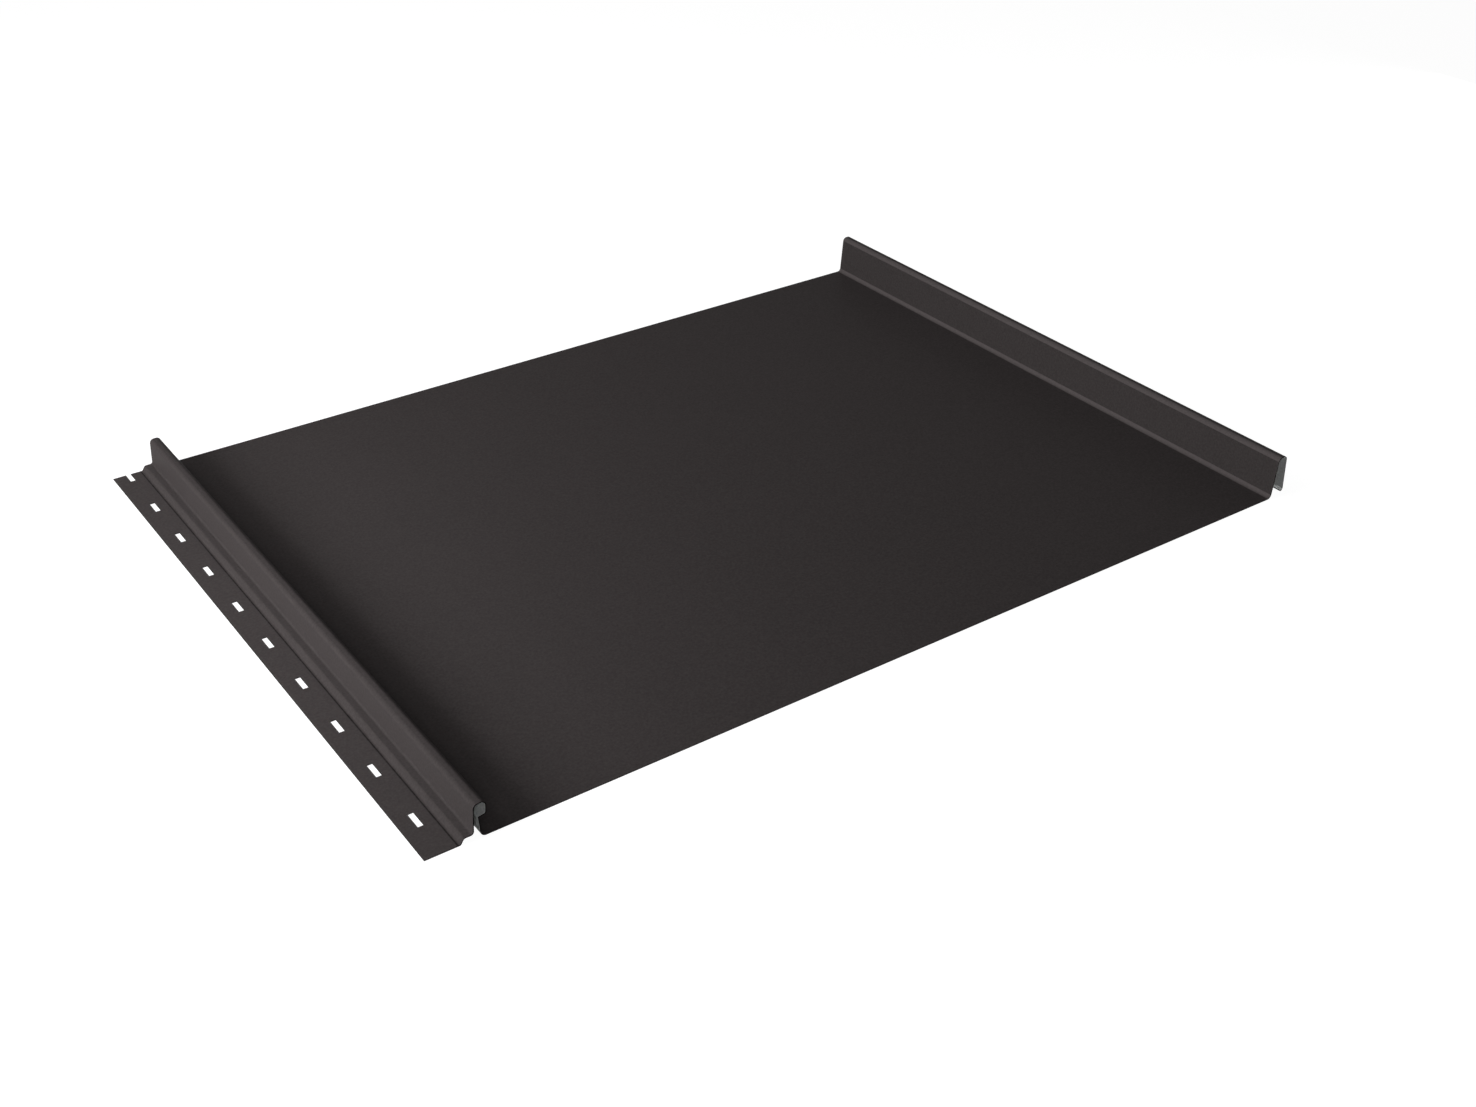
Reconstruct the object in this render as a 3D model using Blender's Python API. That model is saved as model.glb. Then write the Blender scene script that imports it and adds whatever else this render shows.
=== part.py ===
"""Standing seam roof panel: one roll-formed sheet with a slotted nail flange, a low rib and a tall click seam.

Frame: X runs across the panel from the nail flange to the seam, Y along the seams, Z up from the pan's
underside. The origin is the centre of the panel's footprint on the surface that it lies on. Metres.
"""
import math

import bmesh
import bpy
from mathutils import Matrix, Vector

# Sheet
PANEL_LENGTH = 0.400
SHEET_THICKNESS = 0.0005

# Nail flange and the step beside the rib
FLANGE_WIDTH = 0.01745
STEP_HEIGHT = 0.00283
STEP_ANGLE = math.radians(59.6)
PLATFORM_WIDTH = 0.00478

# Low rib with the bead that the next panel's lip clicks under
RIB_HEIGHT = 0.0189
RIB_LEAN = math.radians(4.0)
RIB_TOP_WIDTH = 0.0061
BEAD_HEIGHT = 0.0067
BEAD_LEAN = math.radians(5.7)
LEDGE_WIDTH = 0.00355
LEDGE_SLOPE = math.radians(8.0)
RIB_INNER_LEAN = math.radians(3.7)

# Flat pan between the foot of the rib and the foot of the seam
PAN_WIDTH = 0.50573

# Tall seam that covers the next panel's rib, open underneath
SEAM_HEIGHT = 0.0254
SEAM_LEAN = math.radians(5.5)
SEAM_TOP_WIDTH = 0.0059
LEG_SPREAD = math.radians(3.0)
LIP_CLEARANCE = 0.0023
LIP_WIDTH = 0.00166

# Bend radii at the middle of the sheet
FLANGE_BEND = 0.00125
STEP_BEND = 0.0016
RIB_FOOT_BEND = 0.0016
RIB_TOP_BEND = 0.0024
BEAD_BEND = 0.00075
LEDGE_BEND = 0.0006
PAN_BEND = 0.00255
SEAM_TOP_BEND = 0.0024
LIP_BEND = 0.00145
FACETS_PER_BEND = 8

# Punched slots: groups of three along the flange, cut through wherever the panel's ends fall
SLOT_WIDTH = 0.0028
SLOT_LENGTH = 0.0104
SLOT_EDGE_DISTANCE = 0.00886
SLOTS_PER_GROUP = 3
SLOT_PITCH = 0.04173
GROUP_PITCH = 0.1234
FIRST_GROUP_START = -0.0208

# Finishes: colour, roughness and metallic value
TOP_COAT = ((0.060, 0.054, 0.050, 1.0), 0.55, 0.0)
BACK_COAT = ((0.090, 0.098, 0.095, 1.0), 0.60, 0.0)


def clear_scene():
    for item in list(bpy.data.objects):
        bpy.data.objects.remove(item, do_unlink=True)


def coat_material(name, finish):
    colour, roughness, metallic = finish
    material = bpy.data.materials.new(name)
    material.use_nodes = True
    shader = material.node_tree.nodes["Principled BSDF"]
    shader.inputs["Base Color"].default_value = colour
    shader.inputs["Roughness"].default_value = roughness
    shader.inputs["Metallic"].default_value = metallic
    return material


def section_corners():
    """Corners of the sheet's middle line from the flange's free edge to the lip, each with its bend radius."""
    middle = SHEET_THICKNESS / 2
    corners = [(Vector((0.0, middle)), 0.0)]

    def go(run, rise, bend):
        corners.append((corners[-1][0] + Vector((run, rise)), bend))

    # Nail flange, step and platform
    go(FLANGE_WIDTH, 0.0, FLANGE_BEND)
    go(STEP_HEIGHT / math.tan(STEP_ANGLE), STEP_HEIGHT, STEP_BEND)
    go(PLATFORM_WIDTH, 0.0, RIB_FOOT_BEND)

    # Rib: outer wall, top, bead, ledge under the bead, inner wall down to the pan
    wall = RIB_HEIGHT - SHEET_THICKNESS - STEP_HEIGHT
    go(wall * math.tan(RIB_LEAN), wall, RIB_TOP_BEND)
    go(RIB_TOP_WIDTH, 0.0, RIB_TOP_BEND)
    go(-BEAD_HEIGHT * math.tan(BEAD_LEAN), -BEAD_HEIGHT, BEAD_BEND)
    go(-LEDGE_WIDTH, -LEDGE_WIDTH * math.tan(LEDGE_SLOPE), LEDGE_BEND)
    drop = corners[-1][0].y - middle
    go(drop * math.tan(RIB_INNER_LEAN), -drop, PAN_BEND)

    # Pan, then the seam: web, top, outer leg and the lip curled in under it
    go(PAN_WIDTH, 0.0, PAN_BEND)
    web = SEAM_HEIGHT - SHEET_THICKNESS
    go(web * math.tan(SEAM_LEAN), web, SEAM_TOP_BEND)
    go(SEAM_TOP_WIDTH, 0.0, SEAM_TOP_BEND)
    leg = web - LIP_CLEARANCE
    go(leg * math.tan(LEG_SPREAD), -leg, LIP_BEND)
    go(-LIP_WIDTH, 0.0, 0.0)
    return corners


def bend_points(before, corner, after, radius, room_before, room_after):
    """Points along the arc that rounds one corner, kept within the straight lengths beside it."""
    inward = (corner - before).normalized()
    outward = (after - corner).normalized()
    turn = inward.angle_signed(outward) * -1
    half = math.tan(abs(turn) / 2)
    radius = min(radius, room_before / half, room_after / half)
    start = corner - inward * radius * half
    side = Vector((-inward.y, inward.x)) * math.copysign(radius, turn)
    centre = start + side
    points = []
    for index in range(FACETS_PER_BEND + 1):
        swing = Matrix.Rotation(turn * index / FACETS_PER_BEND, 2)
        points.append(centre + swing @ (start - centre))
    return points


def section_line():
    """The middle line as points, with every corner rounded to its bend radius."""
    corners = section_corners()
    last = len(corners) - 1
    points = [corners[0][0]]
    for index in range(1, last):
        before = corners[index - 1][0]
        corner, radius = corners[index]
        after = corners[index + 1][0]
        share_before = 1.0 if index == 1 else 0.5
        share_after = 1.0 if index == last - 1 else 0.5
        room_before = (corner - before).length * share_before
        room_after = (after - corner).length * share_after
        points += bend_points(before, corner, after, radius, room_before, room_after)
    points.append(corners[last][0])
    return points


def overall_width(line):
    """Width over the sheet's outer faces: the leg's bulge above the lip is the widest place."""
    widest = max(range(len(line)), key=lambda index: line[index].x)
    along = (line[widest] - line[widest - 1]).normalized()
    return line[widest].x + abs(along.y) * SHEET_THICKNESS / 2


def sheet_mesh(line, left):
    """The sheet's middle surface: the section line drawn along the panel's length, faces up."""
    bm = bmesh.new()
    near = -PANEL_LENGTH / 2
    verts = [bm.verts.new((point.x - left, near, point.y)) for point in line]
    edges = [bm.edges.new(pair) for pair in zip(verts[:-1], verts[1:])]
    drawn = bmesh.ops.extrude_edge_only(bm, edges=edges)
    far_verts = [item for item in drawn["geom"] if isinstance(item, bmesh.types.BMVert)]
    bmesh.ops.translate(bm, verts=far_verts, vec=(0.0, PANEL_LENGTH, 0.0))
    pan = max(bm.faces, key=lambda face: face.calc_area())
    pan.normal_update()
    if pan.normal.z < 0:
        bmesh.ops.reverse_faces(bm, faces=bm.faces[:])
    mesh = bpy.data.meshes.new("seam_panel")
    bm.to_mesh(mesh)
    bm.free()
    return mesh


def slot_starts():
    """Where each slot begins, measured from the panel's near end."""
    starts = []
    group_start = FIRST_GROUP_START
    while group_start < PANEL_LENGTH:
        for index in range(SLOTS_PER_GROUP):
            start = group_start + index * SLOT_PITCH
            if -SLOT_LENGTH < start < PANEL_LENGTH:
                starts.append(start)
        group_start += GROUP_PITCH
    return starts


def slot_cutter(left):
    """One block for each slot, standing through the nail flange."""
    bm = bmesh.new()
    depth = SHEET_THICKNESS * 4
    for start in slot_starts():
        place = Matrix.Translation((SLOT_EDGE_DISTANCE - left, start + (SLOT_LENGTH - PANEL_LENGTH) / 2, 0.0))
        size = Matrix.Diagonal((SLOT_WIDTH, SLOT_LENGTH, depth, 1.0))
        bmesh.ops.create_cube(bm, size=1.0, matrix=place @ size)
    mesh = bpy.data.meshes.new("slot_cutter")
    bm.to_mesh(mesh)
    bm.free()
    cutter = bpy.data.objects.new("slot_cutter", mesh)
    cutter.hide_render = True
    cutter.display_type = "WIRE"
    bpy.context.collection.objects.link(cutter)
    return cutter


def seam_panel():
    """The whole panel: the drawn section given the sheet's thickness, then punched."""
    line = section_line()
    left = overall_width(line) / 2
    mesh = sheet_mesh(line, left)
    mesh.materials.append(coat_material("top_coat", TOP_COAT))
    mesh.materials.append(coat_material("back_coat", BACK_COAT))
    mesh.shade_smooth()
    mesh.set_sharp_from_angle(angle=math.radians(30))
    panel = bpy.data.objects.new("seam_panel", mesh)
    bpy.context.collection.objects.link(panel)

    gauge = panel.modifiers.new("sheet_gauge", "SOLIDIFY")
    gauge.thickness = SHEET_THICKNESS
    gauge.offset = 0.0
    gauge.use_even_offset = True
    gauge.material_offset = 1

    punch = panel.modifiers.new("slot_punch", "BOOLEAN")
    punch.operation = "DIFFERENCE"
    punch.solver = "EXACT"
    punch.object = slot_cutter(left)
    return panel


clear_scene()
seam_panel()
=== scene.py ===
"""Standing seam roof panel: the formed and coated sheet, and the stage that it lies on.

Frame: X runs across the panel from the nail flange to the seam, Y along the seams, Z up from the pan's
underside. Metres. The sheet is folded from its section, punched, and given its thickness and its coats.
"""

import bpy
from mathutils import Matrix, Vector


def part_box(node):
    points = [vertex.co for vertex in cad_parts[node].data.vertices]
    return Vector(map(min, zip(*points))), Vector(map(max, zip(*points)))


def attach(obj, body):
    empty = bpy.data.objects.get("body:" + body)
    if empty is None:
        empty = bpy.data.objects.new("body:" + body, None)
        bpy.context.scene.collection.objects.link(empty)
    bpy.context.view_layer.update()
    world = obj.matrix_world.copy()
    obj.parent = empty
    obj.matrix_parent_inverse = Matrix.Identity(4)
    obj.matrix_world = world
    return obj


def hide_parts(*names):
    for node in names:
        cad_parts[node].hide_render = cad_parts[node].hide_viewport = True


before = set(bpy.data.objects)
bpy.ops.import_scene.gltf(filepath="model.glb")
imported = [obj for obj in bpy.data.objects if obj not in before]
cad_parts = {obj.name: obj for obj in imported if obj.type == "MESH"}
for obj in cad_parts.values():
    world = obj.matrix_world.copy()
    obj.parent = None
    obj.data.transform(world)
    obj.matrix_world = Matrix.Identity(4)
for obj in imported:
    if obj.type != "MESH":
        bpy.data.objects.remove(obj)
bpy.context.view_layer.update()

import math

import bmesh
import bpy
from mathutils import Vector

bl_info = {
    "name": "Standing seam roof panel",
    "version": (1, 0, 0),
    "blender": (4, 5, 0),
    "location": "3D View > Sidebar > Roof panel",
    "description": "Folds, punches and coats one standing seam roof panel and sets its stage",
    "category": "Object",
}

SHEET_NODE = "seam_panel"
PANEL_LOW, PANEL_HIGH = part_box(SHEET_NODE)

# Directions on the panel, and how near to each other two places count as one
ACROSS = Vector((1.0, 0.0, 0.0))
ALONG = Vector((0.0, 1.0, 0.0))
PLACE_TOLERANCE = 1e-6

# Slanted direction in which no two strips of the bent sheet lie equally far
STRIP_ORDER = Vector((1.0, 0.0, 0.37))

# The sheet's material slots, and the attribute that carries the painted highlight and shade of its coats
TOP_COAT, BACK_COAT, SHEARED_EDGE = range(3)
PAINTED_LIGHT_MARK = "fold_shade"

# Facets of the bends and of the rounded edges, and the turn that makes an edge a sheared one
FEWEST_BEND_FACETS = 4
EDGE_FACETS = 2
SHEARED_TURN = math.radians(40)

# Build of the noise behind the grain and the clouds
NOISE_DETAIL = 2.0
NOISE_ROUGHNESS = 0.55

WHITE = (1.0, 1.0, 1.0, 1.0)
LAMPS = ("key", "side", "near", "far", "front", "back")


def length(name, description, default):
    return bpy.props.FloatProperty(
        name=name, description=description, default=default,
        precision=5, unit="LENGTH", subtype="DISTANCE",
    )


def angle(name, description, degrees):
    return bpy.props.FloatProperty(
        name=name, description=description, default=math.radians(degrees),
        unit="ROTATION", subtype="ANGLE",
    )


def share(name, description, default):
    return bpy.props.FloatProperty(
        name=name, description=description, default=default,
        min=0.0, soft_max=1.0, precision=3, subtype="FACTOR",
    )


def shade(name, description, default):
    """A painted highlight or painted shade on the coat: lighter above zero and darker below it."""
    return bpy.props.FloatProperty(
        name=name, description=description, default=default,
        min=-1.0, soft_max=1.0, precision=3, subtype="FACTOR",
    )


def colour(name, description, default):
    return bpy.props.FloatVectorProperty(
        name=name, description=description, default=default,
        size=3, min=0.0, max=1.0, subtype="COLOR",
    )


def place(name, description, default):
    return bpy.props.FloatVectorProperty(
        name=name, description=description, default=default,
        precision=4, unit="LENGTH", subtype="TRANSLATION",
    )


def power(name, description, default):
    return bpy.props.FloatProperty(
        name=name, description=description, default=default, min=0.0, unit="POWER"
    )


class SheetSizes(bpy.types.PropertyGroup):
    """Sizes of the folded sheet: widths and bends at the middle of its thickness, heights over all"""

    panel_length: length("Panel length", "Length along the seams", PANEL_HIGH.y - PANEL_LOW.y)
    thickness: length("Sheet thickness", "Thickness of the coated steel sheet", 0.0005)
    flange_width: length("Flange width", "Nail flange from its free edge to the step", 0.01745)
    step_height: length("Step height", "Rise from the flange to the platform", 0.00283)
    step_angle: angle("Step angle", "Slope of the step", 59.6)
    platform_width: length("Platform width", "Level strip between the step and the rib", 0.00478)
    rib_height: length("Rib height", "Low rib's height over the underside", 0.0189)
    rib_lean: angle("Rib lean", "Lean of the rib's outer wall", 4.0)
    rib_top_width: length("Rib top width", "Level top of the rib between its corners", 0.0061)
    bead_height: length("Bead height", "Depth of the bead that the next panel clicks under", 0.0067)
    bead_lean: angle("Bead lean", "Lean of the bead's face", 5.7)
    ledge_width: length("Ledge width", "Width of the ledge under the bead", 0.00355)
    ledge_slope: angle("Ledge slope", "Fall of the ledge towards the inner wall", 8.0)
    rib_inner_lean: angle("Inner wall lean", "Lean of the rib's inner wall", 3.7)
    pan_width: length("Pan width", "Flat pan between the rib and the seam", 0.50573)
    seam_height: length("Seam height", "Tall seam's height over the underside", 0.0254)
    seam_lean: angle("Seam lean", "Lean of the seam's web", 5.5)
    seam_top_width: length("Seam top width", "Level top of the seam between its corners", 0.0059)
    leg_spread: angle("Leg spread", "Spread of the seam's outer leg", 3.0)
    lip_clearance: length("Lip clearance", "Height of the curled lip over the pan's line", 0.0023)
    lip_width: length("Lip width", "Width of the curled lip", 0.00166)
    flange_bend: length("Flange bend", "Bend radius at the foot of the step", 0.00125)
    step_bend: length("Step bend", "Bend radius at the head of the step", 0.0016)
    rib_foot_bend: length("Rib foot bend", "Bend radius at the rib's outer foot", 0.0016)
    rib_top_bend: length("Rib top bend", "Bend radius at the rib's two top corners", 0.0024)
    bead_bend: length("Bead bend", "Bend radius at the bead's lower corner", 0.00075)
    ledge_bend: length("Ledge bend", "Bend radius where the ledge meets the inner wall", 0.0006)
    pan_bend: length("Pan bend", "Bend radius at both sides of the pan", 0.00255)
    seam_top_bend: length("Seam top bend", "Bend radius at the seam's two top corners", 0.0024)
    lip_bend: length("Lip bend", "Bend radius of the curled lip", 0.00145)
    facet_turn: angle("Facet turn", "Turn of the sheet from one facet of a bend to the next", 6.0)
    crease_distance: length("Crease distance", "Dark line's distance before the step's foot", 0.00125)
    crease_width: length("Crease width", "Width over which the dark line fades out", 0.0013)
    edge_round: length("Edge round", "Rounding of the sheared edges", 0.00006)
    slot_width: length("Slot width", "Width of a nail slot across the flange", 0.0028)
    slot_length: length("Slot length", "Length of a nail slot along the flange", 0.0104)
    slot_edge_distance: length("Slot edge distance", "Slot's middle from the free edge", 0.00886)
    slots_per_group: bpy.props.IntProperty(
        name="Slots in a group", description="Slots in each group along the flange", default=3, min=1
    )
    slot_pitch: length("Slot pitch", "Distance from slot to slot in a group", 0.04173)
    group_pitch: length("Group pitch", "Distance from group to group", 0.1234)
    first_group_start: length("First group", "Start of the first group from the near end", -0.0208)


class CoatFinish(bpy.types.PropertyGroup):
    """Colours and grain of the sheet's coats"""

    top_colour: colour("Top coat", "Dark brown top coat", (0.0487, 0.0427, 0.0427))
    back_colour: colour("Back coat", "Light grey coat on the underside", (0.47, 0.48, 0.475))
    edge_colour: colour("Sheared edge", "Edge of the sheet where it was cut", (0.008, 0.007, 0.007))
    roughness: share("Top coat roughness", "Roughness of the top coat's faint gloss", 0.45)
    back_roughness: share("Back coat roughness", "Roughness of the back coat and the edge", 0.60)
    gloss: share("Gloss", "How strong the coats' gloss is, 0.5 being a full one", 0.004)
    # Painted highlight: the coat on the seam's folds is made lighter
    seam_painted_highlight: shade("Seam fold shade", "Shade of the coat on the folds of the seam", 0.85)
    # Painted shade: the coat on the folds and walls by the rib is made darker
    rib_painted_shade: shade("Rib fold shade", "Shade of the coat on the folds and walls by the rib", -0.13)
    # Painted shadow: a dark line in the crease before the step's foot
    crease_painted_shade: shade("Crease shade", "Shade of the coat on the line before the step", -0.85)
    fold_polish: share("Fold polish", "How much smoother the coat is where it is lighter", 0.08)
    grain_size: length("Grain size", "Size of the coat's fine grain", 0.0012)
    grain_shade: share("Grain shade", "Change of shade from grain to grain", 0.30)
    grain_roughness: share("Grain roughness", "Change of roughness from grain to grain", 0.05)
    grain_depth: length("Grain depth", "Height of the grain's relief over its mean", 0.000002)
    cloud_size: length("Cloud size", "Size of the faint clouds in the coat", 0.06)
    cloud_shade: share("Cloud shade", "Change of shade from cloud to cloud", 0.03)
    cloud_roughness: share("Cloud roughness", "Change of roughness from cloud to cloud", 0.03)


class StageSettings(bpy.types.PropertyGroup):
    """Camera, lamps and floor"""

    camera_place: place("Camera place", "Where the camera stands", (-0.49064, -0.74544, 0.51199))
    camera_tilt: angle("Camera tilt", "Tilt of the camera up from straight down", 58.0)
    camera_swing: angle("Camera swing", "Swing of the camera about the upright", -35.0)
    lens: bpy.props.FloatProperty(
        name="Lens", description="Focal length of the camera", default=43.456, unit="CAMERA"
    )
    key_place: place("Key lamp place", "High, past the flange and the far end", (-0.893, 0.893, 1.137))
    key_size: length("Key lamp size", "Side of the high lamp", 0.5)
    key_power: power("Key lamp power", "Power of the high lamp", 5.4)
    side_place: place("Side lamp place", "Low, out past the flange", (-0.940, 0.0, 0.342))
    side_size: length("Side lamp size", "Side of the low lamp", 0.3)
    side_power: power("Side lamp power", "Power of the low lamp", 4.5)
    near_place: place("Near lamp place", "Low, between the side lamp and the flange", (-0.658, 0.03, 0.239))
    near_size: length("Near lamp size", "Side of the near lamp", 0.25)
    near_power: power("Near lamp power", "Power of the near lamp", 2.15)
    far_place: place("Far lamp place", "High, over the far end", (-0.107, 0.606, 0.912))
    far_size: length("Far lamp size", "Side of the far lamp", 0.5)
    far_power: power("Far lamp power", "Power of the far lamp", 1.6)
    front_place: place("Front lamp place", "Before the folds' near ends", (-0.927, -1.606, 0.749))
    front_size: length("Front lamp size", "Side of the front lamp", 1.0)
    front_power: power("Front lamp power", "Power of the front lamp", 10.5)
    back_place: place("Back lamp place", "Low, on the side of the seam's outer leg", (0.978, 0.0, 0.208))
    back_size: length("Back lamp size", "Side of the back lamp", 0.5)
    back_power: power("Back lamp power", "Power of the back lamp", 0.8)
    fill: share("Fill", "Light that comes evenly from all round", 0.015)
    floor_reach: length("Floor reach", "From the middle of the floor to its sides", 4.0)
    floor_gap: length("Floor gap", "Gap between the floor and the panel", 0.0002)
    floor_tone: share("Floor tone", "How much light the floor gives back", 0.30)
    floor_glow: share("Floor glow", "White of the floor as the camera sees it", 0.95)
    floor_shadow: share("Floor shadow", "How much of the shadow the camera sees", 0.20)


class Wire:
    """A shader value that takes part in sums: each operator adds its Math node."""

    def __init__(self, graph, output):
        self.graph = graph
        self.output = output

    def combine(self, operation, first, second):
        return self.graph.add("ShaderNodeMath", {"operation": operation}, {0: first, 1: second})

    def __add__(self, other):
        return self.combine("ADD", self, other)

    def __radd__(self, other):
        return self.combine("ADD", other, self)

    def __sub__(self, other):
        return self.combine("SUBTRACT", self, other)

    def __rsub__(self, other):
        return self.combine("SUBTRACT", other, self)

    def __mul__(self, other):
        return self.combine("MULTIPLY", self, other)

    def __rmul__(self, other):
        return self.combine("MULTIPLY", other, self)


class NodeGraph:
    """The nodes of one material or of the world."""

    def __init__(self, owner):
        owner.use_nodes = True
        self.tree = owner.node_tree
        self.tree.nodes.clear()

    def add(self, kind, settings=None, inputs=None, output=0):
        """Adds one node: its settings first, then the values or links of its sockets."""
        node = self.tree.nodes.new(kind)
        for name, value in (settings or {}).items():
            setattr(node, name, value)
        for key, value in (inputs or {}).items():
            if isinstance(value, Wire):
                self.tree.links.new(value.output, node.inputs[key])
            else:
                node.inputs[key].default_value = value
        return Wire(self, node.outputs[output]) if node.outputs else node

    def tint(self, base, factor):
        """A colour made lighter or darker by a factor around 1."""
        return self.add(
            "ShaderNodeVectorMath", {"operation": "SCALE"}, {"Vector": base, "Scale": factor}
        )


def place_noise(graph, size):
    """Noise with features of one size, set by the place on the sheet, from about -1 to 1."""
    noise = graph.add(
        "ShaderNodeTexNoise", {"noise_dimensions": "3D"},
        {
            "Vector": graph.add("ShaderNodeTexCoord", output="Object"),
            "Scale": 1.0 / size,
            "Detail": NOISE_DETAIL,
            "Roughness": NOISE_ROUGHNESS,
        },
    )
    return noise * 2.0 - 1.0


def coat_material(name, base, roughness, coats):
    """A coat with fine grain in a shallow relief, faint clouds, and the painted highlight and shade on the
    folds and the crease.
    """
    material = bpy.data.materials.new(name)
    graph = NodeGraph(material)
    grain = place_noise(graph, coats.grain_size)
    clouds = place_noise(graph, coats.cloud_size)
    # Painted highlight and painted shade from the folds' mark make the coat lighter or darker, and smoother
    # where lighter
    fold = graph.add("ShaderNodeAttribute", {"attribute_name": PAINTED_LIGHT_MARK}, output="Fac")
    tone_and_painted_light = 1.0 + grain * coats.grain_shade + clouds * coats.cloud_shade + fold
    unevenness = grain * coats.grain_roughness + clouds * coats.cloud_roughness
    relief = graph.add(
        "ShaderNodeBump", None, {"Strength": 1.0, "Distance": coats.grain_depth, "Height": grain}
    )
    shader = graph.add(
        "ShaderNodeBsdfPrincipled", None,
        {
            "Base Color": graph.tint(tuple(base), tone_and_painted_light),
            "Roughness": roughness + unevenness - fold * coats.fold_polish,
            "Specular IOR Level": coats.gloss,
            "Normal": relief,
        },
    )
    graph.add("ShaderNodeOutputMaterial", None, {"Surface": shader})
    return material


def section_corners(sizes):
    """Corners of the sheet's middle line, each with its bend radius, from the flange's edge to the lip."""
    middle = sizes.thickness / 2
    corners = [(Vector((0.0, middle)), 0.0)]

    def go(run, rise, bend):
        corners.append((corners[-1][0] + Vector((run, rise)), bend))

    # Nail flange, step and platform
    go(sizes.flange_width, 0.0, sizes.flange_bend)
    go(sizes.step_height / math.tan(sizes.step_angle), sizes.step_height, sizes.step_bend)
    go(sizes.platform_width, 0.0, sizes.rib_foot_bend)

    # Rib: outer wall, top, bead, ledge under the bead, inner wall down to the pan
    wall = sizes.rib_height - sizes.thickness - sizes.step_height
    go(wall * math.tan(sizes.rib_lean), wall, sizes.rib_top_bend)
    go(sizes.rib_top_width, 0.0, sizes.rib_top_bend)
    go(-sizes.bead_height * math.tan(sizes.bead_lean), -sizes.bead_height, sizes.bead_bend)
    go(-sizes.ledge_width, -sizes.ledge_width * math.tan(sizes.ledge_slope), sizes.ledge_bend)
    drop = corners[-1][0].y - middle
    go(drop * math.tan(sizes.rib_inner_lean), -drop, sizes.pan_bend)

    # Pan, then the seam: web, top, outer leg and the lip curled in under it
    go(sizes.pan_width, 0.0, sizes.pan_bend)
    web = sizes.seam_height - sizes.thickness
    go(web * math.tan(sizes.seam_lean), web, sizes.seam_top_bend)
    go(sizes.seam_top_width, 0.0, sizes.seam_top_bend)
    leg = web - sizes.lip_clearance
    go(leg * math.tan(sizes.leg_spread), -leg, sizes.lip_bend)
    go(-sizes.lip_width, 0.0, 0.0)
    return [(corner + Vector((PANEL_LOW.x, PANEL_LOW.z)), bend) for corner, bend in corners]


def draw_sheet(bm, corners, sizes):
    """The unbent sheet: a grid that faces up, one strip wide for each straight of the section.

    A grid has its parts in the same order in each run, which an extruded line doesn't.
    """
    straights = len(corners) - 1
    grid = bmesh.ops.create_grid(bm, x_segments=straights, y_segments=1, size=1.0)
    for vert in grid["verts"]:
        corner, bend = corners[round((1.0 + vert.co.x) / 2 * straights)]
        far = vert.co.y > 0.0
        vert.co = (corner.x, PANEL_LOW.y + (sizes.panel_length if far else 0.0), corner.y)


def cut_sheet(bm, direction, distance):
    """Cuts every face at a distance from the middle in one direction, and keeps both sides."""
    bmesh.ops.bisect_plane(
        bm, geom=bm.verts[:] + bm.edges[:] + bm.faces[:], dist=PLACE_TOLERANCE,
        plane_co=direction * distance, plane_no=direction,
    )


def off_corner(vert, corner):
    """How far a vertex lies from a corner, seen along the panel."""
    return math.hypot(vert.co.x - corner.x, vert.co.z - corner.y)


def fold_line(bm, corner):
    """The unbent sheet's edge on one corner of the section."""
    lines = []
    for edge in bm.edges:
        if all(off_corner(vert, corner) < PLACE_TOLERANCE for vert in edge.verts):
            lines.append(edge)
    if len(lines) != 1:
        raise RuntimeError("a corner of the section has no fold to bend")
    return lines[0]


def fold_shade(vert, corner, reach, coats):
    """The painted light beside one corner: painted highlight on the seam's bends, and painted shade on the
    bends and walls by the rib.
    """
    in_bend = off_corner(vert, corner) < reach - PLACE_TOLERANCE
    if corner.x > 0.0:
        return coats.seam_painted_highlight if in_bend else 0.0
    on_wall = abs(vert.co.z - corner.y) > PLACE_TOLERANCE
    return coats.rib_painted_shade if in_bend or on_wall else 0.0


def bend_sheet(bm, corners, sizes, coats):
    """Rounds every corner of the section to its bend radius and marks the painted highlight or shade there.
    """
    mark = bm.verts.layers.float.new(PAINTED_LIGHT_MARK)
    for before, bent, after in zip(corners[:-2], corners[1:-1], corners[2:]):
        corner, radius = bent
        turn = (corner - before[0]).angle(after[0] - corner)
        reach = radius * math.tan(turn / 2)
        facets = max(FEWEST_BEND_FACETS, round(turn / sizes.facet_turn))
        fold = fold_line(bm, corner)
        rounded = bmesh.ops.bevel(
            bm, geom=[fold, *fold.verts], offset=reach, offset_type="OFFSET",
            segments=facets, profile=0.5, affect="EDGES", material=-1,
        )
        for vert in rounded["verts"]:
            vert[mark] = fold_shade(vert, corner, reach, coats)

    # The bevel leaves the strips in an order that changes from run to run
    bm.faces.sort(key=lambda strip: strip.calc_center_median().dot(STRIP_ORDER))


def paint_crease_shade(bm, sizes, coats):
    """A painted shadow line that runs along the flange just before the foot of the step."""
    mark = bm.verts.layers.float[PAINTED_LIGHT_MARK]
    middle = PANEL_LOW.x + sizes.flange_width - sizes.crease_distance
    fade = sizes.crease_width / 2
    for side in (middle - fade, middle, middle + fade):
        cut_sheet(bm, ACROSS, side)
    for vert in bm.verts:
        if abs(vert.co.x - middle) < PLACE_TOLERANCE:
            vert[mark] = coats.crease_painted_shade


def slot_spans(sizes):
    """The near and far end of each slot along the panel, cut ones too."""
    spans = []
    group_start = sizes.first_group_start
    while group_start < sizes.panel_length:
        for index in range(sizes.slots_per_group):
            start = group_start + index * sizes.slot_pitch
            if -sizes.slot_length < start < sizes.panel_length:
                spans.append((PANEL_LOW.y + start, PANEL_LOW.y + start + sizes.slot_length))
        group_start += sizes.group_pitch
    return spans


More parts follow.
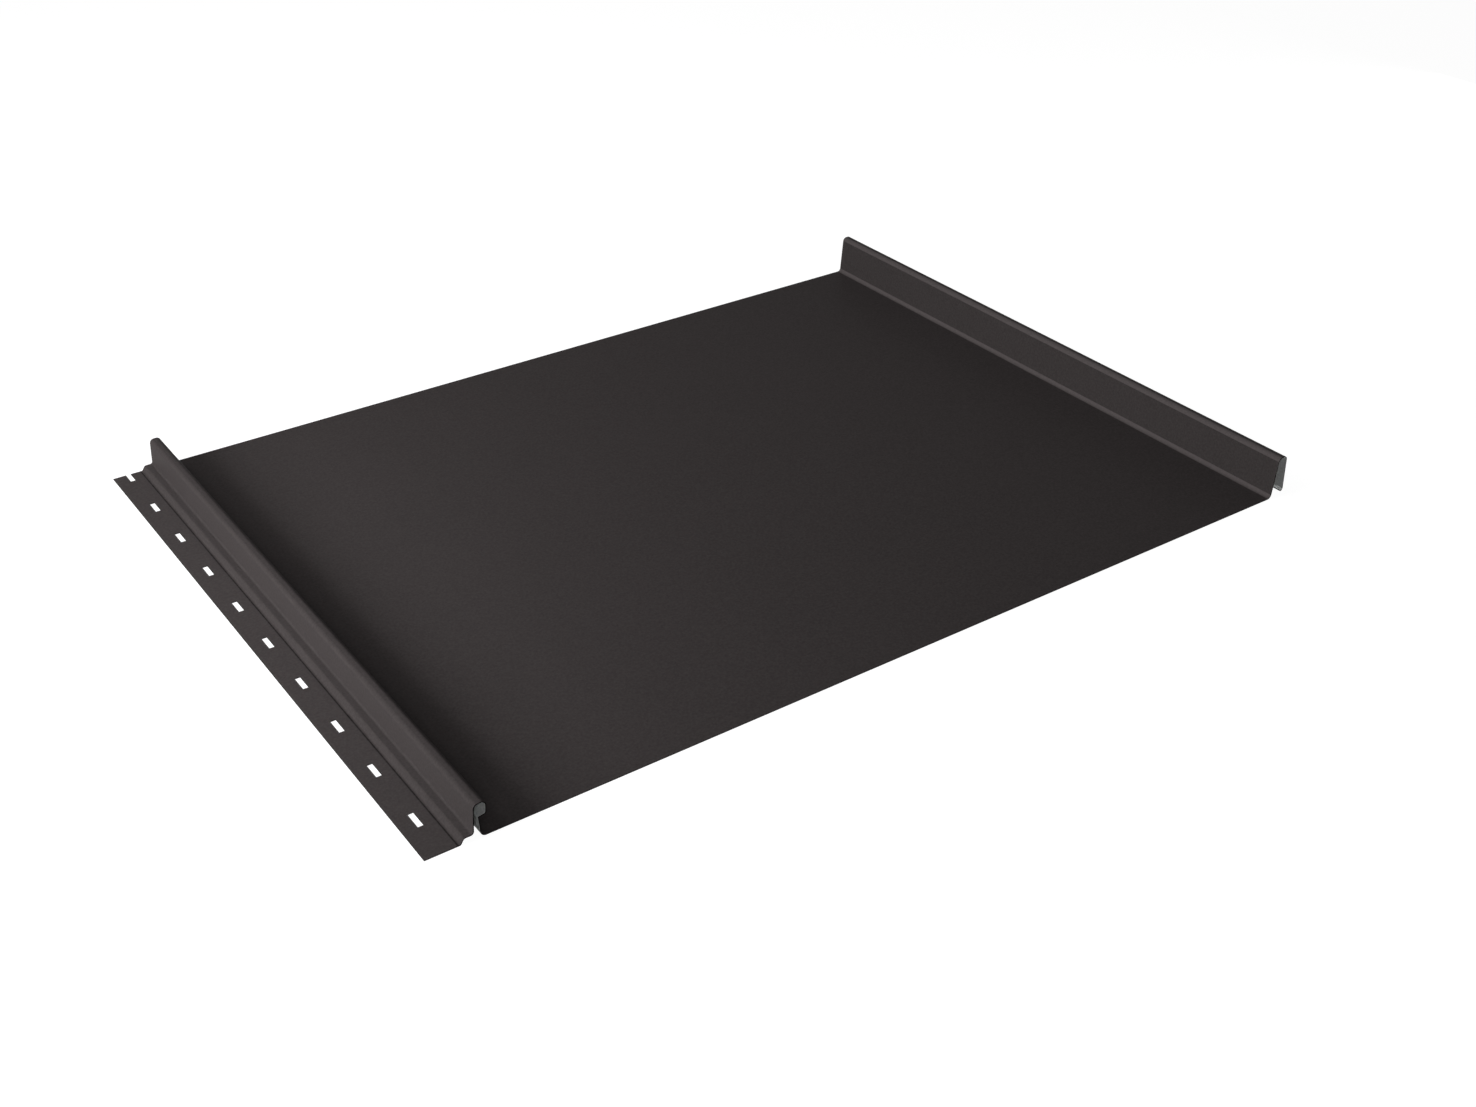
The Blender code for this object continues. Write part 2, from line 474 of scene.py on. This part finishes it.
def punch_slots(bm, sizes):
    """Cuts the sheet along the slots' sides and ends and takes out the faces between them."""
    middle = PANEL_LOW.x + sizes.slot_edge_distance
    left = middle - sizes.slot_width / 2
    right = middle + sizes.slot_width / 2
    spans = slot_spans(sizes)
    cut_sheet(bm, ACROSS, left)
    cut_sheet(bm, ACROSS, right)
    for near, far in spans:
        cut_sheet(bm, ALONG, near)
        cut_sheet(bm, ALONG, far)
    waste = []
    for face in bm.faces:
        centre = face.calc_center_median()
        if left < centre.x < right and any(near < centre.y < far for near, far in spans):
            waste.append(face)
    if len(waste) != len(spans):
        raise RuntimeError("the slots don't lie clear of each other on the flange")
    bmesh.ops.delete(bm, geom=waste, context="FACES")


def finish_sheet(piece, sizes):
    """Thickness, rounded sheared edges and shading that stays flat between the bends."""
    gauge = piece.modifiers.new("sheet_gauge", "SOLIDIFY")
    gauge.thickness = sizes.thickness
    gauge.offset = 0.0
    gauge.use_even_offset = True
    gauge.material_offset = BACK_COAT
    gauge.material_offset_rim = SHEARED_EDGE

    rounding = piece.modifiers.new("edge_rounding", "BEVEL")
    rounding.width = sizes.edge_round
    rounding.segments = EDGE_FACETS
    rounding.limit_method = "ANGLE"
    rounding.angle_limit = SHEARED_TURN

    shading = piece.modifiers.new("flat_shading", "WEIGHTED_NORMAL")
    shading.mode = "FACE_AREA"


class ROOFING_OT_form_sheet(bpy.types.Operator):
    """Folds, punches and coats the roof panel's sheet"""

    bl_idname = "roofing.form_sheet"
    bl_label = "Form the sheet"

    def execute(self, context):
        sizes = context.scene.sheet_sizes
        coats = context.scene.coat_finish
        corners = section_corners(sizes)
        bm = bmesh.new()
        draw_sheet(bm, corners, sizes)
        bend_sheet(bm, corners, sizes, coats)
        paint_crease_shade(bm, sizes, coats)
        punch_slots(bm, sizes)
        mesh = bpy.data.meshes.new("roof_sheet")
        bm.to_mesh(mesh)
        bm.free()
        mesh.shade_smooth()

        finishes = {
            TOP_COAT: ("top_coat", coats.top_colour, coats.roughness),
            BACK_COAT: ("back_coat", coats.back_colour, coats.back_roughness),
            SHEARED_EDGE: ("sheared_edge", coats.edge_colour, coats.back_roughness),
        }
        for slot in sorted(finishes):
            mesh.materials.append(coat_material(*finishes[slot], coats))

        piece = bpy.data.objects.new("roof_sheet", mesh)
        context.scene.collection.objects.link(piece)
        finish_sheet(piece, sizes)
        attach(piece, "root")
        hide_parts(SHEET_NODE)
        return {"FINISHED"}


def add_camera(context, stage):
    """The camera at the photograph's viewing angle."""
    data = bpy.data.cameras.new("panel_camera")
    data.lens = stage.lens
    camera = bpy.data.objects.new("panel_camera", data)
    camera.location = stage.camera_place
    camera.rotation_euler = (stage.camera_tilt, 0.0, stage.camera_swing)
    context.scene.collection.objects.link(camera)
    context.scene.camera = camera


def add_lamp(context, name, stand, size, watts):
    """One square soft lamp that faces the panel's middle."""
    data = bpy.data.lights.new(name, "AREA")
    data.shape = "SQUARE"
    data.size = size
    data.energy = watts
    lamp = bpy.data.objects.new(name, data)
    lamp.location = stand
    lamp.rotation_euler = (-Vector(stand)).to_track_quat("-Z", "Y").to_euler()
    context.scene.collection.objects.link(lamp)


def seen_by_camera(graph):
    """1 for what the camera sees, plainly, in a reflection or through glass, and 0 for other light."""
    plainly = graph.add("ShaderNodeLightPath", output="Is Camera Ray")
    reflected = graph.add("ShaderNodeLightPath", output="Is Glossy Ray")
    through = graph.add("ShaderNodeLightPath", output="Is Transmission Ray")
    return plainly + reflected + through


def studio_world(stage):
    """White to the camera and in reflections, and a faint even light for the rest."""
    world = bpy.data.worlds.new("studio")
    graph = NodeGraph(world)
    fill = graph.add("ShaderNodeBackground", None, {"Color": WHITE, "Strength": stage.fill})
    white = graph.add("ShaderNodeBackground", None, {"Color": WHITE, "Strength": 1.0})
    seen = graph.add("ShaderNodeMixShader", None, {0: seen_by_camera(graph), 1: fill, 2: white})
    graph.add("ShaderNodeOutputWorld", None, {"Surface": seen})
    return world


def plain_grey(graph, tone):
    return graph.add("ShaderNodeBsdfDiffuse", None, {"Color": (tone, tone, tone, 1.0)})


def floor_material(stage):
    """White with the panel's shadow to the camera and in reflections, and pale to other light."""
    material = bpy.data.materials.new("stage_floor")
    graph = NodeGraph(material)
    pale = plain_grey(graph, stage.floor_tone)
    shadow = plain_grey(graph, stage.floor_shadow)
    glow = graph.add("ShaderNodeEmission", None, {"Strength": stage.floor_glow})
    white = graph.add("ShaderNodeAddShader", None, {0: glow, 1: shadow})
    seen = graph.add("ShaderNodeMixShader", None, {0: seen_by_camera(graph), 1: pale, 2: white})
    graph.add("ShaderNodeOutputMaterial", None, {"Surface": seen})
    return material


def add_floor(context, stage):
    """The floor just under the panel."""
    bm = bmesh.new()
    bmesh.ops.create_grid(bm, x_segments=1, y_segments=1, size=stage.floor_reach)
    bmesh.ops.translate(bm, verts=bm.verts, vec=(0.0, 0.0, PANEL_LOW.z - stage.floor_gap))
    mesh = bpy.data.meshes.new("stage_floor")
    bm.to_mesh(mesh)
    bm.free()
    mesh.materials.append(floor_material(stage))
    floor = bpy.data.objects.new("stage_floor", mesh)
    context.scene.collection.objects.link(floor)


class ROOFING_OT_set_stage(bpy.types.Operator):
    """Sets the camera, the lamps, the white surroundings and the floor"""

    bl_idname = "roofing.set_stage"
    bl_label = "Set the stage"

    def execute(self, context):
        stage = context.scene.stage_settings
        add_camera(context, stage)
        for name in LAMPS:
            lamp = [getattr(stage, f"{name}_{what}") for what in ("place", "size", "power")]
            add_lamp(context, f"{name}_lamp", *lamp)
        context.scene.world = studio_world(stage)
        add_floor(context, stage)
        context.scene.view_settings.view_transform = "Standard"
        return {"FINISHED"}


class VIEW3D_PT_roof_panel(bpy.types.Panel):
    """Lists the steps that make the roof panel, with their settings"""

    bl_label = "Roof panel"
    bl_idname = "VIEW3D_PT_roof_panel"
    bl_space_type = "VIEW_3D"
    bl_region_type = "UI"
    bl_category = "Roof panel"

    def draw(self, context):
        steps = (
            (ROOFING_OT_form_sheet, (context.scene.sheet_sizes, context.scene.coat_finish)),
            (ROOFING_OT_set_stage, (context.scene.stage_settings,)),
        )
        for operator, groups in steps:
            self.layout.operator(operator.bl_idname)
            for group in groups:
                box = self.layout.box()
                for name in group.bl_rna.properties.keys():
                    if name not in ("rna_type", "name"):
                        box.prop(group, name)


CLASSES = (
    SheetSizes,
    CoatFinish,
    StageSettings,
    ROOFING_OT_form_sheet,
    ROOFING_OT_set_stage,
    VIEW3D_PT_roof_panel,
)


def register():
    for item in CLASSES:
        bpy.utils.register_class(item)
    bpy.types.Scene.sheet_sizes = bpy.props.PointerProperty(type=SheetSizes)
    bpy.types.Scene.coat_finish = bpy.props.PointerProperty(type=CoatFinish)
    bpy.types.Scene.stage_settings = bpy.props.PointerProperty(type=StageSettings)


def unregister():
    del bpy.types.Scene.stage_settings
    del bpy.types.Scene.coat_finish
    del bpy.types.Scene.sheet_sizes
    for item in reversed(CLASSES):
        bpy.utils.unregister_class(item)


def main():
    register()
    bpy.ops.roofing.form_sheet()
    bpy.ops.roofing.set_stage()
    bpy.context.view_layer.update()


if __name__ == "__main__":
    main()
